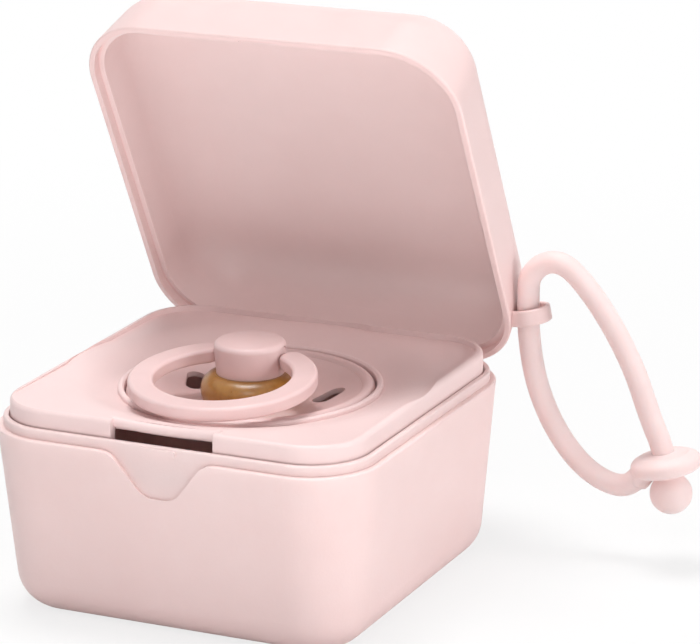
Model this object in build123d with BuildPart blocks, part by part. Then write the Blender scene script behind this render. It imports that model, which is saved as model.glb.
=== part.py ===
"""Pacifier steriliser case: a base with a drop-in tray, a hinged lid with a carrying strap,
and the pacifier that the tray holds. Millimetres, +X right, +Y to the hinge, +Z up,
origin at the middle of the base's underside. The lid is drawn standing open."""

import os
from math import cos, radians, sin, tan

from build123d import *

os.makedirs("parts", exist_ok=True)

# ---- driving dimensions -------------------------------------------------------------
case_width = 71.0          # along X, at the shoulder
case_depth = 71.0          # along Y, at the shoulder
corner_radius = 12.5       # plan corners at the shoulder
base_height = 33.0         # underside to shoulder
base_draft = 5.5           # degrees, the base narrows downwards
base_edge_radius = 7.0     # underside edge
base_wall = 2.0
floor_thickness = 2.0

edge_break = 0.35          # round on rims and shoulders
neck_inset = 1.1           # neck stands this far in from the outer wall
neck_height = 1.7
neck_wall = 0.9
ledge_depth = 5.0          # tray ledge below the shoulder
tray_fit = 0.2             # tray to neck, each side

notch_half_top = 8.8       # finger notch in the front wall, before its rounds
notch_half_bottom = 2.9
notch_depth = 7.4
notch_round = 4.0
nub_width = 6.6            # snap nub on the front of the neck
nub_height = 1.1
nub_stand = 0.3
nub_drop = 0.85            # its middle below the neck's top

tray_wall = 1.7
tray_draft = 0.8           # degrees
tray_front_rise = 4.8      # tray rim above the shoulder, at the front
tray_back_rise = 5.4       # and at the back
tray_plate_drop = 1.1      # plate below the rim at the back, flush at the front
tray_plate = 1.5           # plate thickness
tray_lip = 1.3             # width of the rim lip
tray_edge_radius = 0.9
plate_back = 0.4           # plate's edge behind the front wall, in the window
bar_radius = 0.9           # round bar along the plate's edge
bar_dip = 0.5              # bar's middle below its ends
bar_rise = 0.2             # its ends above the plate
window_half = 9.6          # window in the tray's front wall
window_sill = -1.5         # its foot, from the shoulder

collar_fit = 0.3           # shield to the ring that holds it
collar_wall = 1.1
collar_rise = 3.1          # its top, above the shoulder
dish_rise = 2.1            # plate where it meets the collar
dish_margin = 0.3          # plate starts to sink this far inside the tray's outline
seat_width = 3.6           # ledge under the shield
seat_rise = 0.65
seat_thickness = 1.2

lid_height = 17.4
lid_overhang = 0.25        # lid's rim outside the base's shoulder
lid_draft = 7.5            # degrees, outside
lid_edge_radius = 9.5
lid_wall = 1.9             # hollow's rim inside the base's outline
lid_hollow_draft = 3.0     # degrees
lid_gap = 0.1              # lid rim above the shoulder when shut
rebate_fit = 0.2           # lid to neck, each side and on top
lid_open = 63.3            # degrees from shut

hinge_in = 0.1             # hinge axis inside the back wall's face
hinge_sink = 0.05          # top of the hinge's barrel below the shoulder
barrel_radius = 1.15
knuckle_length = 18.0
ear_length = 5.0
ear_root = 4.0             # ear's foot below the axis
hinge_gap = 0.15           # end play and swing room
knuckle_rise = 3.6         # knuckle's root above the lid rim
knuckle_root = 0.5         # and how deep it sits in the wall
pin_radius = 0.55
pin_fit = 0.05

lug_stand = 0.4            # strap, in the middle of its hole, to the case's side
lug_from_hinge = 9.95      # strap hole in front of the hinge axis, lid shut
lug_up = 3.9               # and above the lid rim
lug_fit = 0.85             # strap to its hole
lug_wall = 0.8
lug_length = 2.9
lug_tilt = 26.7            # degrees, its hole leans towards the lid's roof
lug_lean = 11.0            # degrees, and its outer side is raised
lug_edge_radius = 0.4      # or what its wall has room for

strap_diameter = 4.0
eyelet_radius = 6.35
eyelet_thickness = 2.9
eyelet_back = 2.3          # eyelet's middle from the strap's end
ball_bite = 0.7            # strap's end inside the ball
ball_radius = 3.8

shield_radius = 21.7
bead_width = 2.4           # raised bead round the rim
bead_rise = 0.7
shield_top = 2.3           # shield's face inside the bead, above the shoulder
shield_thickness = 1.25
shield_dish = 2.3          # its middle below that
shield_flat = 9.2          # radius of the flat middle
vent_radius = 13.5         # from the middle to each vent
vent_angle = 21.0          # degrees back from the pivot line
vent_lean = 20.0           # degrees, the vents spread towards the back
vent_length = 7.0
vent_width = 3.4
pacifier_turn = 3.6        # degrees, the pacifier lies a little round in the collar

teat_dome_foot = 8.2       # dome between shield and knob
teat_dome_radius = 8.7
teat_dome_rise = 2.6       # its widest level above the shoulder
teat_dome_top = 6.5
teat_neck_radius = 5.2
teat_bulb_radius = 9.2
teat_length = 29.0         # below the shield face
knob_foot_rise = 5.0
knob_top_rise = 10.9
knob_foot_radius = 5.95
knob_top_radius = 6.35
knob_round = 0.9
knob_crown = 0.3           # rise of the top's middle
recess_radius = 2.5        # round the ring's ends
plug_radius = 2.8
plug_depth = 6.6           # below the knob's foot

ring_outer = 16.25
ring_inner = 11.9
ring_thickness = 2.5
ring_reach = 12.0          # pivot axis to the ring's middle
ring_tilt = 3.8            # degrees, front down
ring_gap_half = 6.0        # ring ends, from the middle
ring_edge_radius = 0.6
pivot_rise = 7.65
pivot_radius = 0.9
pivot_reach = 2.0          # stub length
pivot_fit = 0.05
pivot_room = 0.15          # knob recess round the ring's ends

# strap route in the loop's upright plane, outwards and up from the lug's hole
strap_route = [
    (22.0, -25.3), (20.6, -28.5), (16.6, -30.2), (10.2, -27.4), (4.6, -20.7), (0.9, -12.3),
    (-0.5, -3.2), (-0.5, 3.6), (-0.35, 7.0), (2.4, 9.9), (6.3, 10.2), (10.4, 6.6),
    (15.4, 0.0), (19.9, -8.2), (22.7, -16.2), (25.4, -22.1), (26.3, -26.8),
]

# ---- derived ------------------------------------------------------------------------
half_width = case_width / 2
half_depth = case_depth / 2
shoulder = base_height
neck_top = shoulder + neck_height
pocket_inset = neck_inset + neck_wall
ledge_z = shoulder - ledge_depth
tray_inset = pocket_inset + tray_fit
hinge_y = half_depth - hinge_in
hinge_drop = barrel_radius + hinge_sink
hinge_z = shoulder - hinge_drop
pivot_z = shoulder + pivot_rise
collar_radius = shield_radius + collar_fit + collar_wall
dish_radius = min(half_width, half_depth) - tray_inset - dish_margin
lug_hole_radius = strap_diameter / 2 + lug_fit
lug_radius = lug_hole_radius + lug_wall
lug_out = strap_diameter / 2 + lug_stand
pin_length = knuckle_length + 2 * hinge_gap + 2 * ear_length

lid_frame = Plane(
    origin=(0, hinge_y, hinge_z),
    x_dir=(1, 0, 0),
    z_dir=(0, sin(radians(lid_open)), cos(radians(lid_open))),
)
lid_rim = hinge_drop + lid_gap           # rim height in the lid's frame
lug_middle = (half_width + lug_out, -lug_from_hinge, lid_rim + lug_up)
lug_centre = lid_frame.from_local_coords(Vector(*lug_middle))
hole_tilt = radians(lug_tilt)
hole_lean = radians(lug_lean)
hole_rise = lid_frame.z_dir * sin(hole_tilt) - lid_frame.y_dir * cos(hole_tilt)
lug_axis = hole_rise * cos(hole_lean) - lid_frame.x_dir * sin(hole_lean)
lug_across = lid_frame.x_dir * cos(hole_lean) + hole_rise * sin(hole_lean)
strap_plane = Plane(origin=lug_centre, x_dir=(1, 0, 0), z_dir=(0, -1, 0))


def level(height):
    """Horizontal plane at a height above the underside."""
    return Plane.XY.offset(height)


def rounded_square(inset, middle_y=0.0):
    """Case outline, drawn in by an inset."""
    with Locations((0, middle_y)):
        RectangleRounded(case_width - 2 * inset, case_depth - 2 * inset, corner_radius - inset)


def save(part, name):
    part.label = name
    export_step(part, f"parts/{name}.step")


# ---- base ---------------------------------------------------------------------------
with BuildPart() as base_shell:
    with BuildSketch(level(shoulder)):
        rounded_square(0)
    extrude(amount=-base_height, taper=base_draft)
    fillet(base_shell.faces().sort_by(Axis.Z)[0].edges(), base_edge_radius)
    fillet(base_shell.faces().sort_by(Axis.Z)[-1].edges(), edge_break)
    # neck that the lid closes over
    with BuildSketch(level(shoulder)):
        rounded_square(neck_inset)
    extrude(amount=neck_height)
    fillet(base_shell.faces().sort_by(Axis.Z)[-1].edges(), edge_break)
    # finger notch: the neck's face carried down into the front wall
    with BuildSketch(Plane.XZ.offset(half_depth - neck_inset)):
        with BuildLine(Location((0, shoulder))):
            FilletPolyline(
                (-notch_half_top - notch_round, 0), (-notch_half_top, 0),
                (-notch_half_bottom, -notch_depth), (notch_half_bottom, -notch_depth),
                (notch_half_top, 0), (notch_half_top + notch_round, 0),
                radius=notch_round,
            )
            Polyline(
                (notch_half_top + notch_round, 0), (notch_half_top, neck_height),
                (-notch_half_top, neck_height), (-notch_half_top - notch_round, 0),
            )
        make_face()
    extrude(amount=2 * neck_inset, mode=Mode.SUBTRACT)
    # snap nub
    with BuildSketch(Plane.XZ.offset(half_depth - neck_inset)):
        with Locations((0, neck_top - nub_drop)):
            RectangleRounded(nub_width, nub_height, nub_height * 0.45)
    extrude(amount=nub_stand)
    # pocket for the tray, and the well below its ledge
    with BuildSketch(level(ledge_z)):
        rounded_square(pocket_inset)
    extrude(amount=neck_top - ledge_z, mode=Mode.SUBTRACT)
    with BuildSketch(level(ledge_z)):
        rounded_square(base_wall + ledge_depth * tan(radians(base_draft)))
    extrude(amount=floor_thickness - ledge_z, taper=base_draft, mode=Mode.SUBTRACT)
    floor_edges = base_shell.edges().filter_by_position(
        Axis.Z, floor_thickness - 0.01, floor_thickness + 0.01
    )
    fillet(floor_edges, base_edge_radius - base_wall)
    # room for the lid's knuckle
    with BuildSketch(Plane.YZ.offset(-knuckle_length / 2 - hinge_gap)):
        with Locations((hinge_y, hinge_z)):
            Circle(barrel_radius + hinge_gap)
            Rectangle(
                barrel_radius + hinge_gap, hinge_drop + neck_height,
                align=(Align.MAX, Align.MIN),
            )
            Rectangle(
                barrel_radius + hinge_gap, hinge_drop + neck_height,
                align=(Align.MIN, Align.MIN),
            )
    extrude(amount=knuckle_length + 2 * hinge_gap, mode=Mode.SUBTRACT)
    # ears that hold the pin
    for side in (-1, 1):
        ear_middle = side * (knuckle_length / 2 + hinge_gap + ear_length / 2)
        with BuildSketch(Plane.YZ.offset(ear_middle)):
            with BuildLine():
                CenterArc((hinge_y, hinge_z), barrel_radius, 0, 360)
                Line(
                    (half_depth - neck_inset, shoulder - 2 * edge_break),
                    (half_depth - base_wall / 2, hinge_z - ear_root),
                )
            make_hull()
        extrude(amount=ear_length / 2, both=True)
    with BuildSketch(Plane.YZ):
        with Locations((hinge_y, hinge_z)):
            Circle(pin_radius)
    extrude(amount=pin_length / 2, both=True, mode=Mode.SUBTRACT)
save(base_shell.part, "base_shell")

with BuildPart() as hinge_pin:
    with BuildSketch(Plane.YZ):
        with Locations((hinge_y, hinge_z)):
            Circle(pin_radius)
    extrude(amount=pin_length / 2, both=True)
    fillet(hinge_pin.edges(), pin_radius / 3)
save(hinge_pin.part, "hinge_pin")

# ---- tray ---------------------------------------------------------------------------
rim_slope = (tray_back_rise - tray_front_rise) / case_depth
plate_slope = rim_slope - tray_plate_drop / case_depth
rim_plane = Plane(
    origin=(0, 0, shoulder + (tray_front_rise + tray_back_rise) / 2),
    x_dir=(1, 0, 0), z_dir=(0, -rim_slope, 1),
)
plate_plane = Plane(
    origin=(0, 0, shoulder + (tray_front_rise + tray_back_rise - tray_plate_drop) / 2),
    x_dir=(1, 0, 0), z_dir=(0, -plate_slope, 1),
)
bowl_plane = Plane(
    origin=plate_plane.origin, x_dir=(1, 0, 0), z_dir=plate_plane.x_dir.cross(plate_plane.z_dir)
)
bowl_axis = Axis(plate_plane.origin, plate_plane.z_dir)
bowl_depth = plate_plane.origin.Z - shoulder - dish_rise
plate_under = shoulder + tray_back_rise - tray_plate_drop - tray_plate
collar_top = shoulder + collar_rise
seat_z = shoulder + seat_rise
collar_inner = collar_radius - collar_wall
lip_inset = tray_inset + tray_lip
bar_y = -half_depth + tray_inset + tray_wall + plate_back
bar_z = shoulder + tray_front_rise - bar_radius + bar_rise


def dish_curve(drop):
    """Bowl from the collar's foot out to the flat of the plate, lowered by a drop."""
    return Spline(
        (collar_radius - collar_wall / 2, -bowl_depth - drop), (dish_radius, -drop),
        tangents=((1, 0.2), (1, 0)),
    )


with BuildPart() as tray:
    with BuildSketch(level(ledge_z)):
        rounded_square(tray_inset)
    extrude(amount=ledge_depth + tray_back_rise + tray_lip, taper=tray_draft)
    split(bisect_by=rim_plane, keep=Keep.BOTTOM)
    fillet(tray.faces().sort_by(Axis.Z)[-1].edges(), tray_edge_radius)
    # plate set down inside the rim, level with it at the front
    with BuildSketch(plate_plane):
        RectangleRounded(
            case_width - 2 * lip_inset, case_depth - 2 * lip_inset, corner_radius - lip_inset
        )
        with Locations((0, -case_depth / 2)):
            Rectangle(case_width - 2 * lip_inset, case_depth)
    extrude(amount=tray_lip * 4, mode=Mode.SUBTRACT)
    # hollow under the plate
    with BuildSketch(level(ledge_z)):
        rounded_square(tray_inset + tray_wall)
    extrude(amount=plate_under - ledge_z, taper=tray_draft, mode=Mode.SUBTRACT)
    # bowl, collar and seat turned about the middle
    with BuildSketch(bowl_plane):
        with BuildLine():
            upper = dish_curve(0)
            lower = dish_curve(tray_plate)
            Line(upper @ 0, lower @ 0)
            Line(upper @ 1, lower @ 1)
        make_face()
    revolve(axis=bowl_axis)
    with BuildSketch(bowl_plane):
        with BuildLine():
            floor_line = dish_curve(0)
            Polyline(
                floor_line @ 0, (0, -bowl_depth), (0, 2 * tray_lip),
                (dish_radius, 2 * tray_lip), floor_line @ 1,
            )
        make_face()
    revolve(axis=bowl_axis, mode=Mode.SUBTRACT)
    with BuildSketch(Plane.XZ):
        with Locations((0, seat_z - seat_thickness)):
            Rectangle(collar_inner, collar_rise, align=(Align.MIN, Align.MIN))
    revolve(axis=Axis.Z, mode=Mode.SUBTRACT)
    with BuildSketch(Plane.XZ):
        with Locations((collar_inner, seat_z - seat_thickness)):
            Rectangle(collar_wall, collar_top - seat_z + seat_thickness, align=(Align.MIN, Align.MIN))
            Rectangle(seat_width, seat_thickness, align=(Align.MAX, Align.MIN))
    revolve(axis=Axis.Z)
    collar_edges = tray.edges().filter_by(GeomType.CIRCLE).filter_by_position(
        Axis.Z, collar_top - 0.01, collar_top + 0.01
    )
    fillet(collar_edges, collar_wall * 0.4)
    # window: the front wall is open here, and the plate's edge shows as a rounded bar
    with BuildSketch(Plane.XZ.offset(-bar_y)):
        with Locations((0, shoulder + window_sill)):
            Rectangle(2 * window_half, case_depth, align=(Align.CENTER, Align.MIN))
    extrude(amount=2 * tray_wall, mode=Mode.SUBTRACT)
    with BuildLine():
        bar_line = ThreePointArc(
            (-window_half - tray_plate / 2, bar_y, bar_z), (0, bar_y, bar_z - bar_dip),
            (window_half + tray_plate / 2, bar_y, bar_z),
        )
    with BuildSketch(Plane(origin=bar_line @ 0, x_dir=(0, 1, 0), z_dir=bar_line % 0)):
        Circle(bar_radius)
    sweep(path=bar_line)
save(tray.part, "tray")

# ---- lid ----------------------------------------------------------------------------
lid_rise = Axis(lid_frame.origin, lid_frame.z_dir)
lid_side = Plane(origin=lid_frame.origin, x_dir=lid_frame.y_dir, z_dir=lid_frame.x_dir)
lid_roof = lid_height - lid_wall
rebate_depth = neck_height + rebate_fit - lid_gap
lug_plane = Plane(origin=lug_centre, x_dir=lug_across, z_dir=lug_axis)
lug_root = -lug_out - lid_wall * 0.85
with BuildPart() as lid_hollow:
    with BuildSketch(lid_frame.offset(lid_rim)):
        rounded_square(lid_wall, -hinge_y)
    extrude(amount=lid_roof, taper=lid_hollow_draft)
    fillet(lid_hollow.faces().sort_by(lid_rise)[-1].edges(), lid_edge_radius - lid_wall)

with BuildPart() as strap_lug:
    with BuildSketch(lug_plane):
        with BuildLine():
            CenterArc((0, 0), lug_radius, 0, 360)
            Line((lug_root, -lug_up + lid_wall * 0.7), (lug_root, lug_radius * 0.9))
        make_hull()
    extrude(amount=lug_length / 2, both=True)
    with BuildSketch(lug_plane):
        Circle(lug_hole_radius)
    extrude(amount=lug_length, both=True, mode=Mode.SUBTRACT)
    lug_faces = strap_lug.faces().sort_by(Axis(lug_centre, lug_axis))
    lug_round = min(lug_edge_radius, 0.45 * lug_wall)
    fillet(lug_faces[0].edges() + lug_faces[-1].edges(), lug_round)

with BuildPart() as lid:
    with BuildSketch(lid_frame.offset(lid_rim)):
        rounded_square(-lid_overhang, -hinge_y)
    extrude(amount=lid_height, taper=lid_draft)
    fillet(lid.faces().sort_by(lid_rise)[-1].edges(), lid_edge_radius)
    fillet(lid.faces().sort_by(lid_rise)[0].edges(), edge_break)
    add(lid_hollow.part, mode=Mode.SUBTRACT)
    # hinge knuckle
    with BuildSketch(lid_side):
        with BuildLine():
            CenterArc((0, 0), barrel_radius, 0, 360)
            Line(
                (hinge_in - edge_break, lid_rim + edge_break),
                (hinge_in - knuckle_root, lid_rim + knuckle_rise),
            )
        make_hull()
    extrude(amount=knuckle_length / 2, both=True)
    with BuildSketch(lid_side):
        Circle(pin_radius + pin_fit)
    extrude(amount=knuckle_length, both=True, mode=Mode.SUBTRACT)
    add(strap_lug.part)
    # rebate over the neck, and the groove that the snap nub drops into
    with BuildSketch(lid_frame.offset(lid_rim)):
        rounded_square(neck_inset - rebate_fit, -hinge_y)
    extrude(amount=rebate_depth, mode=Mode.SUBTRACT)
    with BuildSketch(lid_frame.offset(lid_rim)):
        with Locations((0, -half_depth - hinge_y + neck_inset - nub_stand - rebate_fit)):
            Rectangle(nub_width + 4 * rebate_fit, neck_inset, align=(Align.CENTER, Align.MIN))
    extrude(amount=rebate_depth, mode=Mode.SUBTRACT)
save(lid.part, "lid")

# ---- strap --------------------------------------------------------------------------
strap_corners = [Vector(*corner) for corner in strap_route]
strap_runs = [last - first for first, last in zip(strap_corners, strap_corners[1:])]
strap_radii = []
for before, after in zip(strap_runs, strap_runs[1:]):
    half_turn = radians(before.get_angle(after)) / 2
    strap_radii.append(0.45 * min(before.length, after.length) / tan(half_turn))
print("strap bend radii, mm:", [round(value, 1) for value in strap_radii])

with BuildPart() as strap_cord:
    with BuildLine(strap_plane):
        strap_line = FilletPolyline(*strap_route, radius=strap_radii)
    with BuildSketch(Plane(origin=strap_line @ 0, z_dir=strap_line % 0)):
        Circle(strap_diameter / 2)
    sweep(path=strap_line)
save(strap_cord.part, "strap_cord")

strap_tail = strap_line % 1
tail_end = strap_line @ 1
with BuildPart() as strap_eyelet:
    with BuildSketch(Plane(origin=tail_end - strap_tail * eyelet_back, z_dir=strap_tail)):
        Circle(eyelet_radius)
    extrude(amount=eyelet_thickness / 2, both=True)
    fillet(strap_eyelet.edges(), eyelet_thickness * 0.45)
    add(strap_cord.part, mode=Mode.SUBTRACT)
save(strap_eyelet.part, "strap_eyelet")

with BuildPart() as strap_ball:
    with Locations(tail_end + strap_tail * (ball_radius - ball_bite)):
        Sphere(ball_radius)
    add(strap_cord.part, mode=Mode.SUBTRACT)
save(strap_ball.part, "strap_ball")

# ---- pacifier -----------------------------------------------------------------------
face_z = shoulder + shield_top
bead_z = face_z + bead_rise
dish_floor = face_z - shield_dish
back_z = dish_floor - shield_thickness
rest_z = face_z - shield_thickness - pivot_room
rest_radius = collar_inner - seat_width - pivot_room
bead_inner = shield_radius - bead_width
spin = radians(pacifier_turn)
pivot_axis = Vector(cos(spin), sin(spin), 0)
with BuildPart() as pacifier_shield:
    with BuildSketch(Plane.XZ):
        with BuildLine():
            Line((teat_neck_radius, back_z), (teat_neck_radius, dish_floor))
            Line((teat_neck_radius, dish_floor), (shield_flat, dish_floor))
            Spline((shield_flat, dish_floor), (bead_inner, face_z), tangents=((1, 0), (1, 0.42)))
            ThreePointArc(
                (bead_inner, face_z), (shield_radius - bead_width * 0.45, bead_z),
                (shield_radius, bead_z - bead_width * 0.45),
            )
            Polyline(
                (shield_radius, bead_z - bead_width * 0.45), (shield_radius, rest_z + bead_rise),
                (shield_radius - bead_rise, rest_z), (rest_radius, rest_z),
            )
            Spline((rest_radius, rest_z), (shield_flat, back_z), tangents=((-1, -0.3), (-1, 0)))
            Line((shield_flat, back_z), (teat_neck_radius, back_z))
        make_face()
    revolve(axis=Axis.Z)
    for side in (-1, 1):
        vent_turn = pacifier_turn + 90 - side * (90 - vent_angle)
        slot_turn = pacifier_turn + 90 - side * vent_lean
        with BuildSketch(level(back_z)):
            with PolarLocations(vent_radius, 1, start_angle=vent_turn, rotate=False):
                SlotOverall(vent_length, vent_width, rotation=slot_turn)
        extrude(amount=2 * shield_dish + shield_thickness, mode=Mode.SUBTRACT)
save(pacifier_shield.part, "pacifier_shield")

knob_foot = shoulder + knob_foot_rise
knob_top = shoulder + knob_top_rise
plug_foot = knob_foot - plug_depth
teat_tip = face_z - teat_length
bulb_z = teat_tip + teat_bulb_radius * 1.05
with BuildPart() as pacifier_teat:
    with BuildSketch(Plane.XZ):
        with BuildLine():
            Polyline(
                (0, teat_tip), (0, plug_foot), (plug_radius, plug_foot),
                (plug_radius, knob_foot), (teat_dome_top, knob_foot),
            )
            Spline(
                (teat_dome_top, knob_foot), (teat_dome_radius, shoulder + teat_dome_rise),
                (teat_dome_foot, dish_floor), tangents=((1, -0.35), (-0.5, -1)),
            )
            Polyline(
                (teat_dome_foot, dish_floor), (teat_neck_radius, dish_floor),
                (teat_neck_radius, back_z - shield_thickness),
            )
            Spline(
                (teat_neck_radius, back_z - shield_thickness),
                (teat_bulb_radius, bulb_z), (0, teat_tip),
                tangents=((0, -1), (-1, 0)),
            )
        make_face()
    revolve(axis=Axis.Z)
save(pacifier_teat.part, "pacifier_teat")

with BuildPart() as pacifier_knob:
    with BuildSketch(Plane.XZ):
        with BuildLine():
            Polyline(
                (0, knob_top), (0, plug_foot), (plug_radius, plug_foot), (plug_radius, knob_foot),
                (knob_foot_radius, knob_foot), (knob_top_radius, knob_top - knob_crown),
            )
            ThreePointArc(
                (knob_top_radius, knob_top - knob_crown),
                (knob_top_radius / 2, knob_top - knob_crown / 4), (0, knob_top),
            )
        make_face()
    revolve(axis=Axis.Z)
    rim = pacifier_knob.edges().filter_by(GeomType.CIRCLE).filter_by_position(
        Axis.Z, knob_top - knob_crown - 0.01, knob_top - knob_crown + 0.01
    )
    fillet(rim, knob_round)
    # recess and holes for the ring's ends
    for side in (-1, 1):
        outwards = pivot_axis * side
        recess_start = Vector(0, 0, pivot_z) + outwards * (ring_gap_half - pivot_room)
        hole_start = recess_start - outwards * pivot_reach
        with BuildSketch(Plane(origin=recess_start, z_dir=outwards)):
            Circle(recess_radius)
        extrude(amount=knob_top_radius, mode=Mode.SUBTRACT)
        with BuildSketch(Plane(origin=hole_start, z_dir=outwards)):
            Circle(pivot_radius + pivot_fit)
        extrude(amount=knob_top_radius, mode=Mode.SUBTRACT)
save(pacifier_knob.part, "pacifier_knob")

tilt = radians(ring_tilt)
ring_up = Vector(sin(spin) * sin(tilt), -cos(spin) * sin(tilt), cos(tilt))
ring_plane = Plane(origin=(0, 0, pivot_z), x_dir=pivot_axis, z_dir=ring_up)
with BuildPart() as pacifier_ring:
    with BuildSketch(ring_plane) as ring_sketch:
        with Locations((0, -ring_reach)):
            Circle(ring_outer)
            Circle(ring_inner, mode=Mode.SUBTRACT)
        Rectangle(2 * ring_gap_half, 2 * ring_reach, mode=Mode.SUBTRACT)
        end_corners = ring_sketch.vertices().filter_by_position(
            Axis.X, -ring_gap_half * 1.3, ring_gap_half * 1.3
        )
        fillet(end_corners, (ring_outer - ring_inner) * 0.48)
    extrude(amount=ring_thickness / 2, both=True)
    ring_faces = pacifier_ring.faces().sort_by(Axis(ring_plane.origin, ring_plane.z_dir))
    fillet(ring_faces[0].edges() + ring_faces[-1].edges(), ring_edge_radius)
    # pivot stubs
    for side in (-1, 1):
        outwards = pivot_axis * side
        stub_start = Vector(0, 0, pivot_z) + outwards * (ring_gap_half - pivot_reach)
        with BuildSketch(Plane(origin=stub_start, z_dir=outwards)):
            Circle(pivot_radius)
        extrude(amount=pivot_reach + pivot_radius)
save(pacifier_ring.part, "pacifier_ring")
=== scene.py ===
# %% [markdown]
# # A pacifier steriliser case
# The case is a soft-cornered square cup with a leaning lid, a drop-in tray, a pacifier with
# an amber teat, and a strap loop on the lid. The hard solids come ready made from the CAD
# frame, in metres. This lesson adds the camera, the soft strap, the finishes and the light.

# %% Load the frame
import math

import bmesh
import bpy
from mathutils import Matrix, Vector


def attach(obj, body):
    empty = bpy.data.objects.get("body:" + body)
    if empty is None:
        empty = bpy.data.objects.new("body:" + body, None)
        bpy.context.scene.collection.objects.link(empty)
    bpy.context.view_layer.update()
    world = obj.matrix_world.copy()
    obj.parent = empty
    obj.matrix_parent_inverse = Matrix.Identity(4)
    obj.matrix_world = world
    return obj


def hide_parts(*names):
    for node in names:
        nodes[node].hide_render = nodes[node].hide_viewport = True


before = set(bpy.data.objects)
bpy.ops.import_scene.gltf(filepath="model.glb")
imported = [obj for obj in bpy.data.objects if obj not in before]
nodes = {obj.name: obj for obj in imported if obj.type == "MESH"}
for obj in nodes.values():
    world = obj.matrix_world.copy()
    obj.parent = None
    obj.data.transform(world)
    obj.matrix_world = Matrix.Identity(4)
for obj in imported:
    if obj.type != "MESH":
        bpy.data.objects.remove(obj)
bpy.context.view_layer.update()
scene = bpy.context.scene
MM = 0.001
print("nodes", sorted(nodes))

# %% [markdown]
# The camera looks down on the front right corner from some way off. A long lens keeps the
# walls nearly parallel, which suits a small boxy object. Its place could be typed in as a
# matrix, but three angles, an aim and a distance are easier to read and to change.

# %% Camera
ROUND, UP, LEAN = (math.radians(angle) for angle in (25.29, 16.65, -0.62))
AIM = Vector((14.1, 10.8, 45.6)) * MM
DISTANCE = 626.2 * MM
SENSOR = 36.0
FOCAL_IN_WIDTHS = 3600 / 700

away = Vector((math.sin(ROUND) * math.cos(UP), -math.cos(ROUND) * math.cos(UP), math.sin(UP)))
level = Vector((math.cos(ROUND), math.sin(ROUND), 0))
upright = away.cross(level)
picture_right = level * math.cos(LEAN) + upright * math.sin(LEAN)
picture_up = upright * math.cos(LEAN) - level * math.sin(LEAN)

lens = bpy.data.cameras.new("camera")
lens.sensor_width, lens.lens = SENSOR, SENSOR * FOCAL_IN_WIDTHS
lens.clip_start, lens.clip_end = 0.01, 20
camera = bpy.data.objects.new("camera", lens)
turned = Matrix((picture_right, picture_up, away)).transposed().to_4x4()
camera.matrix_world = Matrix.Translation(AIM + away * DISTANCE) @ turned
scene.collection.objects.link(camera)
scene.camera = camera
print("camera at", [round(v, 3) for v in camera.location], "lens", round(lens.lens, 1), "mm")

# %% [markdown]
# The strap hangs from a lug on the lid's right side, so its place follows from the hinge,
# the lid's opening and the lug's place on the lid. All of that is worked out in the lid's
# own directions first, as a drawing of the shut case would give it.

# %% The lug's place
LID_OPEN = math.radians(63.3)
HINGE = Vector((0, 35.4, 31.8))
lid_up = Vector((0, math.sin(LID_OPEN), math.cos(LID_OPEN)))
lid_back = Vector((0, math.cos(LID_OPEN), -math.sin(LID_OPEN)))
LUG_RIGHT, LUG_AHEAD, LUG_ABOVE = 37.9, 9.95, 5.2
lug = HINGE + Vector((LUG_RIGHT, 0, 0)) - lid_back * LUG_AHEAD + lid_up * LUG_ABOVE
print("lug, mm", [round(v, 2) for v in lug])

# %% [markdown]
# The strap is one soft silicone cord, 4 mm thick. It starts in a disc, drops, runs back up
# through the lug, bends over and comes down through the disc into a ball. It could be a
# bent tube mesh, but a NURBS curve with a round bevel needs only the corners of its route
# and rounds them itself, so it looks like something flexible. Each corner is given as
# (outwards, up) from the lug's hole, in the upright plane that the loop hangs in.

# %% The strap's route
STRAP_ROUTE = [
    (22.0, -25.3), (20.6, -28.5), (16.6, -30.2), (10.2, -27.4), (4.6, -20.7), (0.9, -12.3),
    (-0.5, -3.2), (-0.5, 3.6), (-0.35, 7.0), (2.4, 9.9), (6.3, 10.2), (10.4, 6.6),
    (15.4, 0.0), (19.9, -8.2), (22.7, -16.2), (25.4, -22.1), (26.3, -26.8),
]
STRAP_THICK = 4.0


def loop_point(outwards, up):
    """A place in the loop's plane, in metres."""
    return (lug + Vector((outwards, 0, up))) * MM


print("strap corners", len(STRAP_ROUTE))

# %% [markdown]
# The tube's radius is the bevel depth times each point's own radius. Here the points carry
# it and the depth stays 1, because a curve's box is grown by its points' radius.

# %% The strap cord
line = bpy.data.curves.new("strap_loop", "CURVE")
line.dimensions = "3D"
line.bevel_depth, line.bevel_resolution = 1.0, 8
line.resolution_u = line.render_resolution_u = 16
line.use_fill_caps = True
spline = line.splines.new("NURBS")
spline.points.add(len(STRAP_ROUTE) - 1)
for point, corner in zip(spline.points, STRAP_ROUTE):
    point.co = (*loop_point(*corner), 1)
    point.radius = STRAP_THICK / 2 * MM
spline.order_u = 3
spline.use_endpoint_u = True
strap_loop = bpy.data.objects.new("strap_loop", line)
scene.collection.objects.link(strap_loop)
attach(strap_loop, "lid")
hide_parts("strap_cord")
print("strap spline, mm", round(spline.calc_length() / MM, 1))

# %% [markdown]
# The disc and the ball are soft silicone too. They are cut from round primitives, shaped in
# edit mode, then voxel remeshed and smoothed, which melts the parts into one moulding with
# small fillets where they meet. Sculpting them by hand would give the same look, but less
# evenly. These helpers select by place, and put a finished piece's place into its mesh.

# %% Modelling helpers


def start(make, **settings):
    """Adds a primitive with nothing else selected, and opens it in edit mode."""
    bpy.ops.object.select_all(action="DESELECT")
    make(**settings)
    bpy.ops.object.mode_set(mode="EDIT")
    bpy.ops.mesh.select_mode(type="FACE")
    return bpy.context.object


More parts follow.
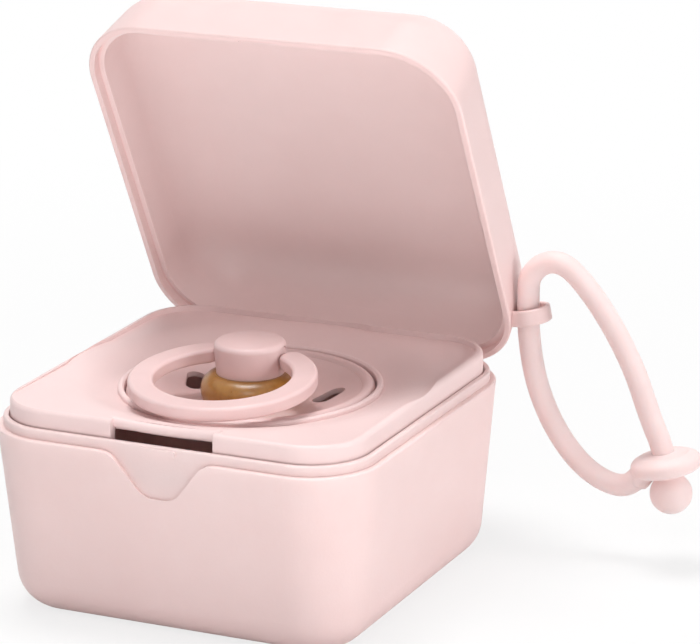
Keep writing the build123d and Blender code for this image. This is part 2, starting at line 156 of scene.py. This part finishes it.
def pick(piece, wanted):
    """Selects the faces whose middle and normal pass a test, in the piece's own axes."""
    form = bmesh.from_edit_mesh(piece.data)
    for face in form.faces:
        face.select_set(wanted(face.calc_center_median(), face.normal))
    form.select_flush_mode()
    bmesh.update_edit_mesh(piece.data)
    return sum(face.select for face in form.faces)


def melt(piece, voxel_mm, rounds):
    """Turns overlapping closed shapes into one skin with soft joins."""
    remesh = piece.modifiers.new("melt", "REMESH")
    remesh.mode, remesh.voxel_size = "VOXEL", voxel_mm * MM
    smooth = piece.modifiers.new("soften", "SMOOTH")
    smooth.factor, smooth.iterations = 0.5, rounds
    for name in ("melt", "soften"):
        bpy.ops.object.modifier_apply(modifier=name)
    bpy.ops.object.transform_apply(location=True, rotation=True, scale=True)
    bpy.ops.object.shade_smooth()
    print(piece.name, "faces", len(piece.data.polygons))


def strap_piece(piece, name, node):
    """Names a piece of the strap, hangs it on the lid, and hides the CAD part that it stands
    for.
    """
    piece.name = piece.data.name = name
    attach(piece, "lid")
    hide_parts(node)


# %% [markdown]
# The disc is a thick soft button. It starts as a short cylinder: its two rims are bevelled
# round, and its faces are inset and lifted into a slight crown, more on top than below. A
# lathe profile would do as well, but this keeps the steps that one takes by hand. The disc
# sits square to the strap's tail, which leans a little outwards.

# %% Strap disc
tail = Vector((0.9, 0, -4.7)).normalized()  # along the route's last leg
tail_end = loop_point(*STRAP_ROUTE[-1])
TAIL_LEAN = math.atan2(-tail.x, -tail.z)
DISC_ABOVE_END, BALL_BELOW_END = 2.3, 3.1
DISC_RADIUS, DISC_THICK, DISC_EDGE = 6.35 * MM, 2.9 * MM, 1.3 * MM
CROWN_STEPS = ((1.1, 0.40), (1.2, 0.35), (1.4, 0.25))
disc_middle = tail_end - tail * DISC_ABOVE_END * MM

strap_disc = start(
    bpy.ops.mesh.primitive_cylinder_add, vertices=64, radius=DISC_RADIUS, depth=DISC_THICK,
    location=disc_middle,
)
pick(strap_disc, lambda middle, normal: abs(normal.z) > 0.9)
bpy.ops.mesh.bevel(offset=DISC_EDGE, segments=6, profile=0.5, affect="EDGES")
for side, crown in ((1, 1.0), (-1, 0.35)):
    picked = pick(strap_disc, lambda middle, normal: middle.z * side > DISC_THICK * 0.49)
    print("disc faces picked", picked)
    for inwards, lift in CROWN_STEPS:
        bpy.ops.mesh.inset(thickness=inwards * MM, depth=lift * crown * MM)
bpy.ops.object.mode_set(mode="OBJECT")
strap_disc.rotation_euler = (0, TAIL_LEAN, 0)

# %% [markdown]
# The lower arm of the strap is moulded to the disc, and swells a little where it joins. A
# cone along that arm gives the swelling, and remeshing the two together gives the fillet
# between them, which a bevel on such a join would not do cleanly.

# %% The flared root of the lower arm
root_top, root_foot = loop_point(22.2, -25.4), loop_point(20.8, -28.2)
root = root_foot - root_top
arm_root = start(
    bpy.ops.mesh.primitive_cone_add, vertices=40, radius1=2.1 * MM, radius2=2.5 * MM,
    depth=root.length, location=(root_top + root_foot) / 2,
)
pick(arm_root, lambda middle, normal: normal.z < -0.9)
bpy.ops.mesh.extrude_region_move(TRANSFORM_OT_translate={"value": (0, 0, -0.8 * MM)})
bpy.ops.transform.resize(value=(0.9, 0.9, 0.9))
bpy.ops.object.mode_set(mode="OBJECT")
arm_root.rotation_euler = (0, math.atan2(-root.x, -root.z), 0)
bpy.ops.object.select_all(action="DESELECT")
arm_root.select_set(True)
strap_disc.select_set(True)
bpy.context.view_layer.objects.active = strap_disc
bpy.ops.object.join()
melt(strap_disc, 0.16, 14)
strap_piece(strap_disc, "strap_disc", "strap_eyelet")

# %% [markdown]
# The ball is the knob that is pushed through the disc's hole, and it keeps the loop shut.
# It starts as a sphere. Its top is drawn up into a short neck that the strap's end goes
# into, and the sphere is pressed a little along the strap, as a soft bead is.

# %% Strap ball
BALL_RADIUS = 3.8 * MM
strap_ball = start(
    bpy.ops.mesh.primitive_uv_sphere_add, segments=48, ring_count=24, radius=BALL_RADIUS,
    location=tail_end + tail * BALL_BELOW_END * MM,
)
print("neck faces picked", pick(strap_ball, lambda middle, normal: normal.z > 0.83))
bpy.ops.mesh.extrude_region_move(TRANSFORM_OT_translate={"value": (0, 0, 0.7 * MM)})
bpy.ops.transform.resize(value=(0.94, 0.94, 0.4))
bpy.ops.mesh.select_all(action="SELECT")
bpy.ops.transform.resize(value=(1, 1, 0.98))
bpy.ops.object.mode_set(mode="OBJECT")
strap_ball.rotation_euler = (0, TAIL_LEAN, 0)
melt(strap_ball, 0.14, 6)
strap_piece(strap_ball, "strap_ball_soft", "strap_ball")

# %% [markdown]
# Finishes are worked out from noise on Object coordinates. Adding every Math node by hand
# is slow to write and hard to read, so one small class wraps a socket. Plain arithmetic on
# it adds the Math nodes, and one method adds any other node.

# %% Socket arithmetic


class Sock:
    """An output socket that arithmetic works on."""

    def __init__(self, tree, socket):
        self.tree, self.socket = tree, socket

    def node(self, kind, settings, values, out=0):
        """Adds a node: settings first, then values or links; gives back one output."""
        made = self.tree.nodes.new(kind)
        for key, value in settings.items():
            setattr(made, key, value)
        for key, value in values.items():
            if isinstance(value, Sock):
                self.tree.links.new(value.socket, made.inputs[key])
            else:
                made.inputs[key].default_value = value
        return None if out is None else Sock(self.tree, made.outputs[out])

    def work(self, operation, first, second):
        return self.node("ShaderNodeMath", {"operation": operation}, {0: first, 1: second})

    def __add__(self, other): return self.work("ADD", self, other)
    def __radd__(self, other): return self.work("ADD", other, self)
    def __sub__(self, other): return self.work("SUBTRACT", self, other)
    def __rsub__(self, other): return self.work("SUBTRACT", other, self)
    def __mul__(self, other): return self.work("MULTIPLY", self, other)
    def __rmul__(self, other): return self.work("MULTIPLY", other, self)

    def between(self, low, high):
        """0 below low, 1 above high, and smooth from one to the other."""
        return self.node(
            "ShaderNodeMapRange", {"interpolation_type": "SMOOTHSTEP"},
            {"Value": self, "From Min": low, "From Max": high},
        )

    def tint(self, dark, light):
        """A colour between two tones or sockets, this value being how far."""
        ends = [tone if isinstance(tone, Sock) else (*tone, 1) for tone in (dark, light)]
        mix = {0: self, 6: ends[0], 7: ends[1]}
        return self.node("ShaderNodeMix", {"data_type": "RGBA"}, mix, 2)


# %% [markdown]
# Every finish starts with its Object coordinates and ends with a bump, a shader and an
# output, and most of what lies between is noise. Three helpers hold what they share, so
# that each finish below shows only what is its own.

# %% Finish helpers


def noise(place, size_mm, detail, warp=0.0):
    """Smooth noise whose lumps are about size_mm across."""
    values = {"Vector": place, "Scale": 1000 / size_mm, "Detail": detail, "Distortion": warp}
    return place.node("ShaderNodeTexNoise", {}, values)


def begin(name):
    """An empty material, and its Object coordinates to build on."""
    material = bpy.data.materials.new(name)
    material.use_nodes = True
    material.node_tree.nodes.clear()
    blank = Sock(material.node_tree, None)
    return material, blank.node("ShaderNodeTexCoord", {}, {}, "Object")


def end(material, height, bump_mm, values):
    """Bump, shader and output; values are the shader's sockets by name."""
    bump = height.node("ShaderNodeBump", {}, {"Height": height, "Distance": bump_mm * MM})
    shader = height.node("ShaderNodeBsdfPrincipled", {}, {**values, "Normal": bump})
    height.node("ShaderNodeOutputMaterial", {}, {"Surface": shader}, None)
    print(material.name, "nodes", len(height.tree.nodes))
    return material


# %% [markdown]
# The case, lid and tray are injection moulded in a satin polypropylene. A mould is spark
# eroded to give that satin, which leaves grains of a third of a millimetre, and the plastic
# flows in a little unevenly, so the shade drifts over centimetres and the gloss over
# millimetres. A few hair-thin rub marks show only where light grazes them. Light goes a
# little way into such plastic, so it gets a subsurface part. It is larger on the base,
# whose thin walls let enough light through for its inside not to look black. The half of
# the mould that makes the hollows is polished, so a mask can make the inside smoother. The
# same mask paints the inside paler and less pink. That is painted light: it stands in for
# how the light looks in the shaded hollow.

# %% Moulded satin plastic
DIMPLE_MM = 0.6
RUB_TURN, RUB_STRETCH = (0.4, 0.7, 0.5), (1, 26, 26)
# Painted light: how much nearer to white the lid's shaded hollow is painted.
PAINTED_LIGHT_PALER = (1.0, 0.87, 0.87)


def painted_light_paler(tone):
    """The same pink, a little nearer to white."""
    return [1 - (1 - part) * kept for part, kept in zip(tone, PAINTED_LIGHT_PALER)]


def satin_plastic(name, light, dark, rough, inside=None, share=0.10, depth_mm=1.4):
    """Spark-eroded pink plastic; inside gives the mask of its polished hollow, painted paler
    as painted light.

    share of the light goes into the plastic, about depth_mm deep.
    """
    material, place = begin(name)
    flow = noise(place, 30, 2, 0.6)
    cloud = noise(place, 5, 3)
    grain = noise(place, 0.34, 3)
    dimple = place.node("ShaderNodeTexVoronoi", {"feature": "F1"}, {
        "Vector": place, "Scale": 1000 / DIMPLE_MM,
    })
    stretched = place.node("ShaderNodeMapping", {}, {
        "Vector": place, "Rotation": RUB_TURN, "Scale": RUB_STRETCH,
    })
    rub = noise(stretched, 9, 3, 0.3).between(0.66, 0.74)
    shade = (flow * 0.65 + cloud * 0.35).between(0.30, 0.70) * 0.85 + grain * 0.15
    gloss = (cloud - 0.5) * 0.14 + (grain - 0.5) * 0.10 + rub * 0.06 + rough
    relief = grain * 0.6 + dimple * 0.4 + rub * 0.25
    colour = shade.tint(dark, light)
    if inside:
        hollow = inside(place)
        # Painted light: the hollow gets a paler, less pink tone in place of how light looks
        # in its shade.
        colour = hollow.tint(colour, shade.tint(painted_light_paler(dark), painted_light_paler(light)))
        gloss = gloss - hollow * 0.05
        relief = relief * (1 - hollow * 0.6)
    return end(material, relief, 0.022, {
        "Base Color": colour, "Roughness": gloss, "IOR": 1.49, "Subsurface Weight": share,
        "Subsurface Radius": (1.0, 0.90, 0.88), "Subsurface Scale": depth_mm * MM,
    })


# %% [markdown]
# The lid's hollow is a rounded box that leans with the lid. Its mask turns Object
# coordinates into the lid's own directions, folds them about the middle, and measures how
# far each point is from a box whose corners are rounded, halfway through the wall.

# %% The lid's hollow
MASK_EDGE = 0.2 * MM
HOLLOW_MIDDLE = Vector((0, -35.4, 1.3)) * MM
HOLLOW_FLAT = Vector((22.2, 22.2, 9.5)) * MM
HOLLOW_CORNER, HOLLOW_DRAFT = 12.45 * MM, 0.09
SQUASHED_CORNER = (1, 1, 1.55)


def lid_hollow(place):
    """1 on the inside of the lid, 0 on its outside."""
    local = place.node("ShaderNodeMapping", {"vector_type": "TEXTURE"}, {
        "Vector": place, "Location": HINGE * MM, "Rotation": (-LID_OPEN, 0, 0),
    })

    def vector(operation, values, out=0):
        return place.node("ShaderNodeVectorMath", {"operation": operation}, values, out)

    offset = vector("SUBTRACT", {0: local, 1: HOLLOW_MIDDLE})
    folded = vector("ABSOLUTE", {0: offset})
    past_flat = vector("SUBTRACT", {0: folded, 1: HOLLOW_FLAT})
    outside = vector("MAXIMUM", {0: past_flat, 1: (0, 0, 0)})
    rounded = vector("MULTIPLY", {0: outside, 1: SQUASHED_CORNER})
    reach = vector("LENGTH", {0: rounded}, "Value")
    height = place.node("ShaderNodeSeparateXYZ", {}, {0: offset}, 2)
    wall = HOLLOW_CORNER - height * HOLLOW_DRAFT
    return (wall - reach).between(-MASK_EDGE, MASK_EDGE)


case_pink = satin_plastic(
    "case_pink", (0.902, 0.666, 0.650), (0.878, 0.636, 0.619), 0.40, share=0.40, depth_mm=4.2
)
# The lid's hollow is painted paler and less pink: painted light.
lid_pink = satin_plastic(
    "lid_pink", (0.868, 0.652, 0.636), (0.842, 0.622, 0.605), 0.40, lid_hollow
)
tray_pink = satin_plastic("tray_pink", (0.862, 0.672, 0.660), (0.838, 0.644, 0.632), 0.43)
pin_pink = satin_plastic("pin_pink", (0.840, 0.622, 0.602), (0.812, 0.590, 0.570), 0.36)

# %% [markdown]
# The pacifier's shield, ring and knob are a finer matt plastic, a shade browner than the
# case. Handling leaves it a little glossier in patches, so its gloss follows slow clouds
# more than grain.

# %% Matt pacifier plastic


def matt_plastic(name, light, dark, rough):
    """Fine matt plastic with slightly polished patches."""
    material, place = begin(name)
    cloud = noise(place, 7, 2, 0.4)
    grain = noise(place, 0.22, 3)
    handled = noise(place, 3.2, 2).between(0.52, 0.72)
    shade = (cloud * 0.8 + grain * 0.2).between(0.28, 0.72)
    return end(material, grain + handled * 0.1, 0.012, {
        "Base Color": shade.tint(dark, light),
        "Roughness": (grain - 0.5) * 0.12 - handled * 0.07 + rough,
        "IOR": 1.48, "Subsurface Weight": 0.10, "Subsurface Radius": (1.0, 0.5, 0.4),
        "Subsurface Scale": 1.1 * MM,
    })


pacifier_pink = matt_plastic(
    "pacifier_pink", (0.800, 0.592, 0.582), (0.768, 0.560, 0.548), 0.44
)

# %% [markdown]
# The teat is natural rubber: amber, clear in thin places and full of fine haze. Clear glass
# would look hard, so the colour stays on the surface and much of the light goes under it.
# Darker streaks follow the way the rubber ran down the dipping form, so that noise is
# stretched along the teat's length.

# %% Amber rubber


def amber_rubber(name, light, dark):
    """Dipped natural rubber, hazy amber with slow streaks."""
    material, place = begin(name)
    long_way = place.node("ShaderNodeMapping", {}, {"Vector": place, "Scale": (1, 1, 0.3)})
    streak = noise(long_way, 3.0, 3, 0.8)
    haze = noise(place, 0.8, 2)
    shade = (streak * 0.75 + haze * 0.25).between(0.32, 0.68)
    return end(material, haze + streak * 0.4, 0.015, {
        "Base Color": shade.tint(dark, light), "Roughness": haze * 0.12 + 0.24,
        "IOR": 1.52, "Subsurface Weight": 0.30, "Subsurface Radius": (1.0, 0.42, 0.10),
        "Subsurface Scale": 1.6 * MM,
    })


teat_amber = amber_rubber("teat_amber", (0.405, 0.195, 0.040), (0.320, 0.140, 0.026))

# %% [markdown]
# Silicone is softer to look at than plastic: duller, with a faint bloom at grazing angles,
# and it picks up fine dust. The bloom is the shader's sheen. The dust is a sparse mask that
# makes tiny paler, rougher specks.

# %% Strap silicone


def soft_silicone(name, light, dark, rough):
    """Matt silicone with a bloom and a few specks of dust."""
    material, place = begin(name)
    cloud = noise(place, 8, 2, 0.5)
    skin = noise(place, 0.45, 2)
    speck = noise(place, 0.6, 1).between(0.74, 0.80)
    shade = (cloud * 0.8 + skin * 0.2).between(0.30, 0.70)
    return end(material, skin + speck * 0.3, 0.014, {
        "Base Color": (shade * (1 - speck * 0.3) + speck * 0.3).tint(dark, light),
        "Roughness": (cloud - 0.5) * 0.10 + speck * 0.15 + rough,
        "IOR": 1.43, "Subsurface Weight": 0.22, "Subsurface Radius": (1.0, 0.55, 0.45),
        "Subsurface Scale": 1.6 * MM, "Sheen Weight": 0.12, "Sheen Roughness": 0.45,
    })


strap_pink = soft_silicone("strap_pink", (0.886, 0.710, 0.696), (0.860, 0.676, 0.660), 0.50)

# %% [markdown]
# Each finish goes into its pieces' own material slots. The CAD pieces keep their meshes as
# they are, so only what covers them changes.

# %% Finishes on their pieces
WEARS = {
    case_pink: [nodes["base_shell"]],
    lid_pink: [nodes["lid"]],
    pin_pink: [nodes["hinge_pin"]],
    tray_pink: [nodes["tray"]],
    pacifier_pink: [nodes["pacifier_shield"], nodes["pacifier_knob"], nodes["pacifier_ring"]],
    teat_amber: [nodes["pacifier_teat"]],
    strap_pink: [strap_loop, strap_disc, strap_ball],
}
for material, pieces in WEARS.items():
    for piece in pieces:
        piece.data.materials.clear()
        piece.data.materials.append(material)
    print(material.name, "on", [piece.name for piece in pieces])

# %% [markdown]
# The floor is a plain white sheet. To the camera it is mostly a plain white of strength 1,
# and near the case a part of it is still lit like paper, so the case keeps a soft shadow.
# The extra white is for the camera only and adds no light to the object.

# %% Floor
bpy.ops.object.select_all(action="DESELECT")
bpy.ops.mesh.primitive_plane_add(size=8, location=(0, 0, 0))
floor = bpy.context.object
floor.name = "floor"
NEAR_WHITE = 0.78
paper, spot = begin("floor_paper")
seen = spot.node("ShaderNodeLightPath", {}, {}, "Is Camera Ray")
reach = spot.node("ShaderNodeVectorMath", {"operation": "LENGTH"}, {0: spot}, "Value")
lit = spot.node("ShaderNodeBsdfDiffuse", {}, {"Color": (0.86, 0.86, 0.86, 1)})
white = spot.node("ShaderNodeEmission", {}, {"Color": (1, 1, 1, 1), "Strength": 1.0})
share = reach.between(0.10, 0.32) * (1 - NEAR_WHITE) + NEAR_WHITE
mixed = spot.node("ShaderNodeMixShader", {}, {0: seen * share, 1: lit, 2: white})
spot.node("ShaderNodeOutputMaterial", {}, {"Surface": mixed}, None)
floor.data.materials.append(paper)
print("floor paper nodes", len(paper.node_tree.nodes))

# %% [markdown]
# One softbox hangs over the case, a little behind it and to the left. It lights the tray's
# front, and the leaning lid keeps the back of the tray in shade. A second, high in front,
# and a third, low on the right and a little behind, fill the walls. A white card lies on
# the floor in front and throws light up. It reaches the top of the lid's hollow, and the
# case hides it from the hollow's foot, so the hollow gets darker downwards. A small board
# close in front fills the foot of the front wall.

# %% Lights


def softbox(name, place, size, power, faces=AIM):
    """A square lamp at a place in metres, turned to face another place."""
    lamp = bpy.data.lights.new(name, "AREA")
    lamp.shape, lamp.size, lamp.energy = "SQUARE", size, power
    stand = bpy.data.objects.new(name, lamp)
    stand.location = place
    stand.rotation_mode = "QUATERNION"
    stand.rotation_quaternion = (Vector(place) - Vector(faces)).to_track_quat("Z", "Y")
    scene.collection.objects.link(stand)
    print(name, power, "W at", place)


softbox("overhead", (-0.12, 0.10, 1.00), 0.36, 7.1)
softbox("front", (0.25, -0.75, 0.85), 0.45, 1.8)
softbox("side", (1.08, 0.02, 0.32), 0.55, 5.6)
softbox("card", (0.14, -0.36, 0.004), 0.44, 1.4, faces=(0.14, -0.36, 1))
softbox("board", (0.06, -0.26, 0.015), 0.17, 0.155)

# %% [markdown]
# The sky is dim for the light that it gives, and white where the camera or a reflection
# sees it. The view transform is Standard, which shows a colour as it is written.

# %% Sky
SKY = 0.21
studio = bpy.data.worlds.new("studio")
scene.world = studio
studio.use_nodes = True
studio.node_tree.nodes.clear()
rays = Sock(studio.node_tree, None)
to_camera = rays.node("ShaderNodeLightPath", {}, {}, "Is Camera Ray")
to_gloss = rays.node("ShaderNodeLightPath", {}, {}, "Is Glossy Ray")
sky = rays.node("ShaderNodeBackground", {}, {
    "Color": (1, 1, 1, 1), "Strength": (to_camera + to_gloss) * (1 - SKY) + SKY,
})
rays.node("ShaderNodeOutputWorld", {}, {"Surface": sky}, None)
scene.view_settings.view_transform = "Standard"
print("sky nodes", len(studio.node_tree.nodes))
